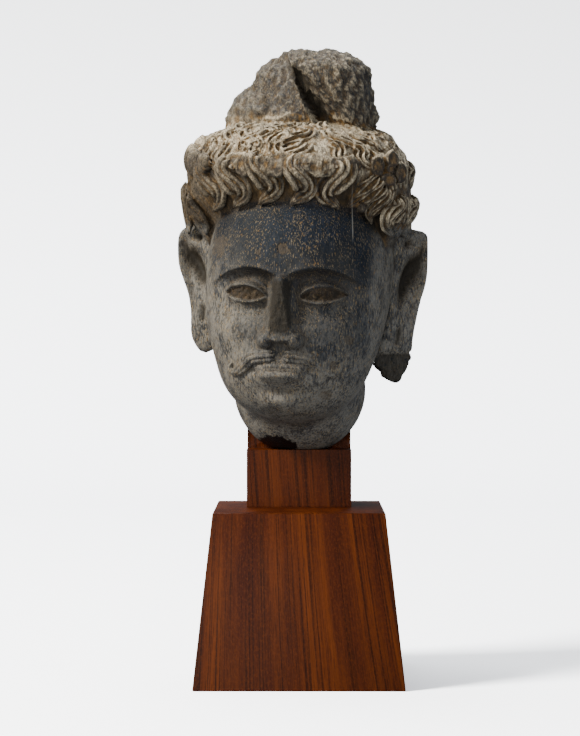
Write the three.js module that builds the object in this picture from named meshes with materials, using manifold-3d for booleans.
// A bodhisattva's head carved from one block of grey schist, broken off at the neck, on a wooden stand.
// The stand is a tapered plinth with a smaller block on it, whose top is cut to a ledge and a riser and
// scooped out to take the stump of the neck. Lengths are in millimetres and +Z is up. The origin is the
// middle of the plinth's underside. The face looks along -Y, turned a little towards -X.
import * as THREE from 'three';
import { mergeVertices } from 'three/addons/utils/BufferGeometryUtils.js';
import Module from 'manifold-3d';

const wasm = await Module();
wasm.setup();

const DEGREE = Math.PI / 180;

// The plinth, a tapered square block.
const PLINTH_FOOT = 168;
const PLINTH_TOP = 137;
const PLINTH_HEIGHT = 139;
const PLINTH_EDGE = 1.2;

// The neck block, with a low ledge in front and a riser behind.
const BLOCK_WIDTH = 85.5;
const BLOCK_SETBACK = 61.5;
const LEDGE_DEPTH = 30;
const LEDGE_HEIGHT = 46.7;
const RISER_DEPTH = 38;
const RISER_HEIGHT = 71;

// Clearances: between two blocks that rest on each other, and between the stump and its scooped seat.
const REST_GAP = 0.3;
const SEAT_GAP = 0.8;

// How the head is held, in degrees: turned to its right, bent forward, and leaning to its left.
const HEAD_TURN = 10;
const HEAD_NOD = 2.5;
const HEAD_LEAN = 1.6;

// The stone. Heights are counted from the underside of the chin, in the head's own frame.
const FACE_WIDTH = 152;
const FACE_HEIGHT = 166;
const SKULL_LENGTH = 184;
const HAIR_WIDTH = 186;
const HAIR_LENGTH = 194;
const HAIR_TOP = 234;
const NECK_WIDTH = 109;
const NECK_LENGTH = 110;
const NECK_DROP = 33;
const NECK_SETBACK = 16;
const EAR_TOP = 149;
const EAR_WIDTH = 44;
const EAR_THICKNESS = 15;
const LEFT_EAR_LENGTH = 128;
const RIGHT_EAR_LENGTH = 106;
const LEFT_EAR_FLARE = 53 * DEGREE;
const RIGHT_EAR_FLARE = 72 * DEGREE;
const TOPKNOT_WIDTH = 104;
const TOPKNOT_LENGTH = 86;
const TOPKNOT_HEIGHT = 60;
const LOCK_WIDTH = 30;
const LOCK_LENGTH = 37;
const LOCK_THICKNESS = 15;
const ROSETTE_RADIUS = 13;

// How finely the free forms are faceted, and how far the head's columns and rows crowd towards the face.
const HEAD_COLUMNS = 46;
const HEAD_ROWS = 46;
const COLUMN_CROWDING = 0.7;
const ROW_CROWDING = 0.22;
const LOCK_SIDES = 6;
const LOCK_RINGS = 8;
const EAR_SIDES = 14;
const EAR_RINGS = 14;

const clamp = THREE.MathUtils.clamp;
const lerp = THREE.MathUtils.lerp;
const smooth = THREE.MathUtils.smoothstep;
const bell = (t) => Math.exp(-t * t);

// The smaller of two heights, rounded where they meet within k.
function softMin(a, b, k) {
  const h = Math.max(k - Math.abs(a - b), 0) / k;
  return Math.min(a, b) - 0.25 * k * h * h;
}

const softMax = (a, b, k) => -softMin(-a, -b, k);

// About how far a point lies outside an ellipsoid, negative inside it.
function outside(p, centre, radii) {
  const q = p.clone().sub(centre).divide(radii);
  const k = q.length();
  return (k * (k - 1)) / Math.max(q.divide(radii).length(), 1e-9);
}

const HEAD_CENTRE = new THREE.Vector3(0, 4, 0.67 * FACE_HEIGHT);
const SKULL = [
  new THREE.Vector3(0, 8, 0.76 * FACE_HEIGHT),
  new THREE.Vector3(0.5 * FACE_WIDTH, 0.5 * SKULL_LENGTH, 0.506 * FACE_HEIGHT),
];
const FACE = [
  new THREE.Vector3(0, -0.13 * SKULL_LENGTH, 0.482 * FACE_HEIGHT),
  new THREE.Vector3(0.474 * FACE_WIDTH, 0.37 * SKULL_LENGTH, 0.506 * FACE_HEIGHT),
];
const JAW = [
  new THREE.Vector3(0, -0.217 * SKULL_LENGTH, 0.175 * FACE_HEIGHT),
  new THREE.Vector3(0.316 * FACE_WIDTH, 0.25 * SKULL_LENGTH, 0.187 * FACE_HEIGHT),
];
const NECK_MIDDLE = 15;
const NECK = [
  new THREE.Vector3(-2.5, NECK_SETBACK, NECK_MIDDLE),
  new THREE.Vector3(NECK_WIDTH / 2, NECK_LENGTH / 2, NECK_DROP + 1.4 * NECK_MIDDLE),
];

// The bare head and the stump of its neck.
function flesh(p) {
  const skull = outside(p, ...SKULL);
  const face = softMin(skull, outside(p, ...FACE), 22);
  const jaw = softMin(face, outside(p, ...JAW), 26);
  return softMin(jaw, outside(p, ...NECK), 9);
}

// The mass of the hair, a dome with nearly upright sides.
const AXIS_SETBACK = 6;
const HAIR_BASE = 0.9 * FACE_HEIGHT;
const HAIR_BOXINESS = 3.3;
const HAIR_SHIFT = -4;

function hairMass(p) {
  const ring = Math.hypot((p.x - HAIR_SHIFT) / (HAIR_WIDTH / 2), (p.y - AXIS_SETBACK) / (HAIR_LENGTH / 2));
  const rise = Math.abs(p.z - HAIR_BASE) / (HAIR_TOP - HAIR_BASE);
  return (ring ** HAIR_BOXINESS + rise ** HAIR_BOXINESS) ** (1 / HAIR_BOXINESS) - 1;
}

// The distance from a centre, along a direction, at which a form ends.
function reach(form, centre, direction) {
  let near = 20;
  let far = 200;
  const p = new THREE.Vector3();
  for (let i = 0; i < 22; i += 1) {
    const middle = (near + far) / 2;
    p.copy(direction).multiplyScalar(middle).add(centre);
    if (form(p) < 0) near = middle;
    else far = middle;
  }
  return (near + far) / 2;
}

// Azimuth round the hair's axis, 0 in front and positive towards +X, and the level direction at one.
const azimuth = (p) => Math.atan2(p.x, AXIS_SETBACK - p.y);
const level = (turn) => new THREE.Vector3(Math.sin(turn), -Math.cos(turn), 0);

// The height of the hair's edge at an azimuth: over the brow, before the ears, and at the nape.
function hairline(turn) {
  const a = Math.abs(turn);
  const front = FACE_HEIGHT + 2 - 10 * Math.min(a / 0.9, 1) ** 2;
  return front - 34 * smooth(a, 0.95, 1.25) - 92 * smooth(a, 1.5, 2.1);
}

// The relief of the face over its plain mass, drawn at the size of a face 152 wide and 166 high.
function faceRelief(x, z) {
  const a = Math.abs(x) / (FACE_WIDTH / 152);
  const h = z / (FACE_HEIGHT / 166);

  const crest = 117 - 0.0145 * (a - 33) ** 2;
  const below = crest - h;
  const depth = 12.5 - 0.1 * Math.max(a - 15, 0);
  let out = -depth * (1 - Math.exp(-Math.max(below, 0) / 4.5));
  out *= (1 - smooth(below, 24, 46)) * (1 - smooth(a, 44, 70)) * smooth(a, 1, 12);
  out += bell(below / 3) * (1 - smooth(a, 48, 64)) * smooth(a, 3, 9);

  const round = 1 - ((a - 31) / 20.5) ** 2 - ((h - 95.5) / 14.5) ** 2;
  if (round > 0) out = softMax(out, -13.5 + 12 * Math.sqrt(round), 2.5);

  // The nose, with its ridge and tip broken away to a flat scar.
  const fall = clamp((108 - h) / 48, 0, 1.2);
  const ridge = 4.5 + 21 * fall ** 1.25 - 1.45 * (Math.sqrt(a * a + 6) - 2.4) - 0.02 * a * a;
  const wing = 1 - ((a - 12) / 7.4) ** 2 - ((h - 60) / 7.4) ** 2;
  let nose = softMin(ridge, 7.5 + 5.5 * fall, 1.2);
  if (wing > 0) nose = softMax(nose, 1.5 + 10.5 * Math.sqrt(wing), 2);
  nose -= 30 * (1 - smooth(h, 50, 57)) + 40 * smooth(h, 108, 124);
  out = softMax(out, nose, 3);

  // The muzzle, the lips, the chin and the cheeks.
  out += 5.5 * bell(Math.hypot(a / 31, (h - 39) / 19));
  const lips = Math.max(1 - (a / 26) ** 2, 0) ** 0.7;
  out += 4.4 * lips * bell((h - 41) / 4) + 5.4 * lips * bell((h - 30.5) / 4.5);
  out -= 2.6 * bell(Math.hypot(a / 18, (h - 21) / 4.2));
  out += 4.6 * bell(Math.hypot(a / 17, (h - 8.5) / 9));
  out += 3 * bell(Math.hypot((a - 44) / 18, (h - 66) / 20));

  // The moustache, mostly worn off on the head's left side.
  const line = 49.8 - 2.2 * smooth(a, 6, 22) - 11.5 * smooth(a, 20, 37);
  const worn = x > 0 ? 0.3 : 1;
  return out + 3.4 * worn * bell((h - line) / 3) * smooth(a, 1, 5) * (1 - smooth(a, 36, 42));
}

// Turns a closed geometry into a solid, with its shared vertices merged and its faces outward.
function solid(geometry) {
  const bare = geometry.clone();
  bare.deleteAttribute('normal');
  bare.deleteAttribute('uv');
  const merged = mergeVertices(bare, 1e-4);
  const vertProperties = new Float32Array(merged.attributes.position.array);
  const triVerts = new Uint32Array(merged.index.array);
  const body = new wasm.Manifold(new wasm.Mesh({ numProp: 3, vertProperties, triVerts }));
  if (body.volume() > 0) return body;
  return new wasm.Manifold(new wasm.Mesh({ numProp: 3, vertProperties, triVerts: triVerts.reverse() }));
}

// Moves each vertex of a geometry by a function of its place.
function shaped(geometry, move) {
  const places = geometry.attributes.position;
  const p = new THREE.Vector3();
  for (let i = 0; i < places.count; i += 1) {
    p.fromBufferAttribute(places, i);
    const q = move(p);
    places.setXYZ(i, q.x, q.y, q.z);
  }
  return geometry;
}

// The head and its cap of hair, one star-shaped body. The cap thins out to the skin under the fringe.
const CAP_SETBACK = 10;
const CAP_SLOPE = 24;

function headBody() {
  return shaped(new THREE.SphereGeometry(1, HEAD_COLUMNS, HEAD_ROWS), (p) => {
    const column = Math.atan2(p.x, p.z);
    const row = Math.acos(clamp(p.y, -1, 1));
    const turn = column - COLUMN_CROWDING * Math.sin(column);
    const dip = row + ROW_CROWDING * Math.sin(2 * row);
    const direction = level(turn).multiplyScalar(Math.sin(dip)).setZ(Math.cos(dip));
    const skin = reach(flesh, HEAD_CENTRE, direction);
    const cap = Math.max(reach(hairMass, HEAD_CENTRE, direction), skin);
    const bare = HEAD_CENTRE.clone().addScaledVector(direction, skin);
    const hair = HEAD_CENTRE.clone().addScaledVector(direction, cap);
    const edge = hairline(azimuth(hair)) + CAP_SETBACK;
    const covered = smooth(hair.z - edge, 0, CAP_SLOPE);
    if (bare.y < 0) bare.y -= faceRelief(bare.x, bare.z);
    return bare.lerp(hair, covered);
  });
}

const LOCK_LIFT = 1;

// A lock of hair: a flat roll that winds down the head and ends in a point. settle is how far its tip
// sinks from the outside of the hair to the skin.
function lock({ turn, height, length, width, thickness, swing, settle, waves = 1.15 }) {
  const place = (t) => {
    const axis = new THREE.Vector3(0, AXIS_SETBACK, height - length * t);
    const there = turn + (swing * Math.sin(2 * Math.PI * waves * t)) / (HAIR_WIDTH / 2);
    const high = reach(hairMass, axis, level(there));
    const low = Math.max(reach(flesh, axis, level(there)), 0.8 * high);
    const away = lerp(high + LOCK_LIFT, low + 0.2 * thickness, settle * smooth(t, 0.25, 1));
    return axis.addScaledVector(level(there), away);
  };
  return shaped(new THREE.SphereGeometry(1, LOCK_SIDES, LOCK_RINGS), (p) => {
    const t = Math.acos(clamp(p.y, -1, 1)) / Math.PI;
    const middle = place(t);
    const along = place(Math.min(t + 0.02, 1)).sub(place(Math.max(t - 0.02, 0))).normalize();
    const out = new THREE.Vector3(middle.x, middle.y - AXIS_SETBACK, 0).normalize();
    const side = new THREE.Vector3().crossVectors(along, out).normalize();
    const full = Math.min(Math.sin(Math.PI * t) * 1.9, 1) * lerp(1, 0.4, t * t);
    const ring = Math.max(Math.hypot(p.x, p.z), 1e-6);
    return middle
      .addScaledVector(side, ((p.x / ring) * full * width) / 2)
      .addScaledVector(out, ((p.z / ring) * full * thickness) / 2);
  });
}

// The locks that show as rolls of their own: a fringe over the brow, and three tiers round the sides,
// set down from the top of the hair by shares of its rise over the ears.
const HAIR_RISE = HAIR_TOP - EAR_TOP;
const FRINGE_TURNS = [-64, -45.5, -27, -8.5, 10, 28.5];
const SIDE_TIERS = [
  { height: HAIR_TOP - 0.07 * HAIR_RISE, turns: [-58, -77, -96, 86, 105] },
  { height: HAIR_TOP - 0.365 * HAIR_RISE, turns: [-68, -87, -106, 77, 96] },
  { height: HAIR_TOP - 0.706 * HAIR_RISE, turns: [-79, -98, 84, 103] },
];

function allLocks() {
  const locks = FRINGE_TURNS.map((degrees, i) => {
    const turn = degrees * DEGREE;
    return lock({
      turn,
      height: hairline(turn) + LOCK_LENGTH - 4,
      length: LOCK_LENGTH,
      width: LOCK_WIDTH,
      thickness: LOCK_THICKNESS,
      swing: i % 2 ? -5 : 5,
      settle: 1,
    });
  });
  SIDE_TIERS.forEach(({ height, turns }, tier) => {
    turns.forEach((degrees, i) => {
      locks.push(lock({
        turn: degrees * DEGREE,
        height,
        length: 0.94 * LOCK_LENGTH,
        width: LOCK_WIDTH,
        thickness: 1.1 * LOCK_THICKNESS,
        swing: (i + tier) % 2 ? -4 : 4,
        settle: 0.4,
      }));
    });
  });
  return locks;
}

// The rosette over the left temple: four round petals, and a sheaf of hair below them.
const ROSETTE_TURN = 57 * DEGREE;
const ROSETTE_HEIGHT = HAIR_TOP - 0.447 * HAIR_RISE;
const PETALS = 4;

function rosette() {
  const out = level(ROSETTE_TURN);
  const side = new THREE.Vector3(-out.y, out.x, 0);
  const axis = new THREE.Vector3(0, AXIS_SETBACK, ROSETTE_HEIGHT);
  const middle = axis.clone().addScaledVector(out, reach(hairMass, axis, out) + 3);
  const petals = [];
  for (let i = 0; i < PETALS; i += 1) {
    const angle = (2 * Math.PI * (i + 0.5)) / PETALS;
    const petal = new THREE.SphereGeometry(0.64 * ROSETTE_RADIUS, 8, 6);
    const centre = middle.clone().addScaledVector(side, Math.cos(angle) * 0.66 * ROSETTE_RADIUS);
    centre.z += Math.sin(angle) * 0.66 * ROSETTE_RADIUS;
    petals.push(petal.translate(centre.x, centre.y, centre.z));
  }
  const sheaf = [-10, 8].map((across) => lock({
    turn: ROSETTE_TURN + across * DEGREE,
    height: ROSETTE_HEIGHT - 4,
    length: LOCK_LENGTH,
    width: LOCK_WIDTH,
    thickness: LOCK_THICKNESS,
    swing: Math.sign(across) * 7,
    settle: 0.9,
    waves: 0.6,
  }));
  return [...petals, ...sheaf];
}

// An ear: a long plate that stands off the head, with a rolled rim round a deep hollow and a hanging lobe.
// side is 1 for the head's left ear, towards +X, and -1 for its right.
const EAR_ROOT = 0.5 * FACE_WIDTH - 8;
const LOBE_SHARE = 0.54;

function ear(side, length, flare) {
  const along = new THREE.Vector3(side * Math.sin(flare), Math.cos(flare), 0);
  const off = new THREE.Vector3(side * Math.cos(flare), -Math.sin(flare), 0);
  return shaped(new THREE.SphereGeometry(1, EAR_SIDES, EAR_RINGS), (p) => {
    const t = (1 - p.y) / 2;
    const ring = Math.max(Math.hypot(p.x, p.z), 1e-6);
    const back = p.x / ring;
    const outward = p.z / ring;
    const width = EAR_WIDTH * lerp(1.08, LOBE_SHARE, t);
    const full = Math.sqrt(Math.max(1 - Math.abs(p.y) ** 3.2, 0));
    const round = Math.sign(outward) * Math.abs(outward) ** 0.6;
    const hollow = Math.max(outward, 0) * bell(back / 0.6) * bell((t - 0.4) / 0.26);
    const thick = EAR_THICKNESS * (0.5 * full * round - 0.85 * hollow);
    const root = new THREE.Vector3(side * EAR_ROOT, -3 * t, EAR_TOP - length * t);
    return root
      .addScaledVector(along, (width / 2) * (1 + back * full))
      .addScaledVector(off, thick);
  });
}

// The topknot: a broad boxy bun, broken down to a low stump on the head's right, with a broken slope on
// its front and a cleft running down beside that.
const KNOT_SHIFT = 5;
const KNOT_SETBACK = 10;
const KNOT_ROOT = 26;
const KNOT_BOXINESS = 2.9;

function topknot() {
  const half = [TOPKNOT_WIDTH / 2, TOPKNOT_LENGTH / 2, (TOPKNOT_HEIGHT + KNOT_ROOT) / 2];
  const bun = shaped(new THREE.IcosahedronGeometry(1, 4), (p) => {
    const sum = p.toArray().reduce((total, c) => total + Math.abs(c) ** KNOT_BOXINESS, 0);
    const q = p.clone().divideScalar(sum ** (1 / KNOT_BOXINESS));
    return new THREE.Vector3(
      KNOT_SHIFT + q.x * half[0],
      KNOT_SETBACK + q.y * half[1],
      HAIR_TOP + TOPKNOT_HEIGHT - half[2] + q.z * half[2],
    );
  });
  const stump = new THREE.SphereGeometry(1, 12, 8);
  stump.scale(0.33 * TOPKNOT_WIDTH, 0.42 * TOPKNOT_LENGTH, 0.52 * TOPKNOT_HEIGHT);
  stump.translate(KNOT_SHIFT - 0.4 * TOPKNOT_WIDTH, KNOT_SETBACK, HAIR_TOP - 3);
  const cleft = new THREE.SphereGeometry(1, 10, 8);
  cleft.scale(0.1 * TOPKNOT_WIDTH, 0.32 * TOPKNOT_LENGTH, 0.6 * TOPKNOT_HEIGHT);
  cleft.rotateY(-30 * DEGREE);
  cleft.translate(KNOT_SHIFT + 2, KNOT_SETBACK - TOPKNOT_LENGTH / 2, HAIR_TOP + 0.24 * TOPKNOT_HEIGHT);
  const slope = new THREE.BoxGeometry(0.68 * TOPKNOT_WIDTH, 0.7 * TOPKNOT_LENGTH, 1.8 * TOPKNOT_HEIGHT);
  slope.rotateX(-35 * DEGREE);
  slope.rotateZ(-23 * DEGREE);
  slope.translate(
    KNOT_SHIFT - 0.32 * TOPKNOT_WIDTH,
    KNOT_SETBACK - 0.67 * TOPKNOT_LENGTH,
    HAIR_TOP + 0.58 * TOPKNOT_HEIGHT,
  );
  return solid(bun).subtract(solid(slope)).add(solid(stump)).subtract(solid(cleft));
}

// The head stands on its stump: from its own frame, it leans, nods and turns, then moves up to the seat.
const LEDGE_TOP = PLINTH_HEIGHT + REST_GAP + LEDGE_HEIGHT;
const STONE_FOOT = LEDGE_TOP + REST_GAP;
const pose = new THREE.Matrix4()
  .makeTranslation(0, 0, STONE_FOOT + NECK_DROP)
  .multiply(new THREE.Matrix4().makeRotationZ(-HEAD_TURN * DEGREE))
  .multiply(new THREE.Matrix4().makeRotationX(HEAD_NOD * DEGREE))
  .multiply(new THREE.Matrix4().makeRotationY(HEAD_LEAN * DEGREE));

function geometryOf(manifold) {
  const mesh = manifold.getMesh();
  return new THREE.BufferGeometry()
    .setAttribute('position', new THREE.BufferAttribute(mesh.vertProperties, 3))
    .setIndex(new THREE.BufferAttribute(mesh.triVerts, 1));
}

function stoneHead() {
  const ears = [ear(1, LEFT_EAR_LENGTH, LEFT_EAR_FLARE), ear(-1, RIGHT_EAR_LENGTH, RIGHT_EAR_FLARE)];
  const grown = [...allLocks(), ...rosette(), ...ears];
  const stone = grown.reduce((whole, piece) => whole.add(solid(piece)), solid(headBody()).add(topknot()));
  const geometry = geometryOf(stone).applyMatrix4(pose);
  return shaped(geometry, (p) => p.setZ(Math.max(p.z, STONE_FOOT)));
}

// The neck block: an L in profile, less the seat of the stump.
function neckBlock() {
  const front = -PLINTH_TOP / 2 + BLOCK_SETBACK;
  const foot = PLINTH_HEIGHT + REST_GAP;
  const profile = new THREE.Shape();
  profile.moveTo(front, foot);
  profile.lineTo(front + LEDGE_DEPTH + RISER_DEPTH, foot);
  profile.lineTo(front + LEDGE_DEPTH + RISER_DEPTH, foot + RISER_HEIGHT);
  profile.lineTo(front + LEDGE_DEPTH, foot + RISER_HEIGHT);
  profile.lineTo(front + LEDGE_DEPTH, LEDGE_TOP);
  profile.lineTo(front, LEDGE_TOP);
  profile.closePath();
  const block = new THREE.ExtrudeGeometry(profile, { depth: BLOCK_WIDTH, bevelEnabled: false });
  block.applyMatrix4(new THREE.Matrix4().makeBasis(
    new THREE.Vector3(0, 1, 0),
    new THREE.Vector3(0, 0, 1),
    new THREE.Vector3(1, 0, 0),
  ));
  block.translate(-BLOCK_WIDTH / 2, 0, 0);

  const seat = new THREE.SphereGeometry(1, 36, 22);
  seat.rotateX(Math.PI / 2);
  seat.scale(NECK[1].x + SEAT_GAP, NECK[1].y + SEAT_GAP, NECK[1].z + SEAT_GAP);
  seat.translate(NECK[0].x, NECK[0].y, NECK[0].z);
  seat.applyMatrix4(pose);
  shaped(seat, (p) => p.setZ(Math.max(p.z, LEDGE_TOP + 0.01)));
  return geometryOf(solid(block).subtract(solid(seat)));
}

// The plinth: a square frustum with its top edges eased.
function plinth() {
  const half = PLINTH_FOOT / 2;
  const top = PLINTH_TOP / 2;
  const eased = top - PLINTH_EDGE;
  const body = new THREE.CylinderGeometry(1, 1, 1, 4, 2);
  body.rotateY(Math.PI / 4);
  body.scale(Math.SQRT2, 1, Math.SQRT2);
  body.rotateX(Math.PI / 2);
  return shaped(body, (p) => {
    const row = Math.round((p.z + 0.5) * 2);
    const reachOut = [half, top, eased][row];
    const height = [0, PLINTH_HEIGHT - PLINTH_EDGE, PLINTH_HEIGHT][row];
    return new THREE.Vector3(p.x * reachOut, p.y * reachOut, height);
  });
}

const schist = new THREE.MeshStandardMaterial({ color: 0x5f6468, roughness: 0.72, metalness: 0 });
const hardwood = new THREE.MeshStandardMaterial({ color: 0x5a2a14, roughness: 0.35, metalness: 0 });

const part = new THREE.Group();
[
  ['plinth', plinth(), hardwood],
  ['neck_block', neckBlock(), hardwood],
  ['head', stoneHead(), schist],
].forEach(([name, geometry, material]) => {
  const mesh = new THREE.Mesh(geometry, material);
  mesh.name = name;
  part.add(mesh);
});

export default part;
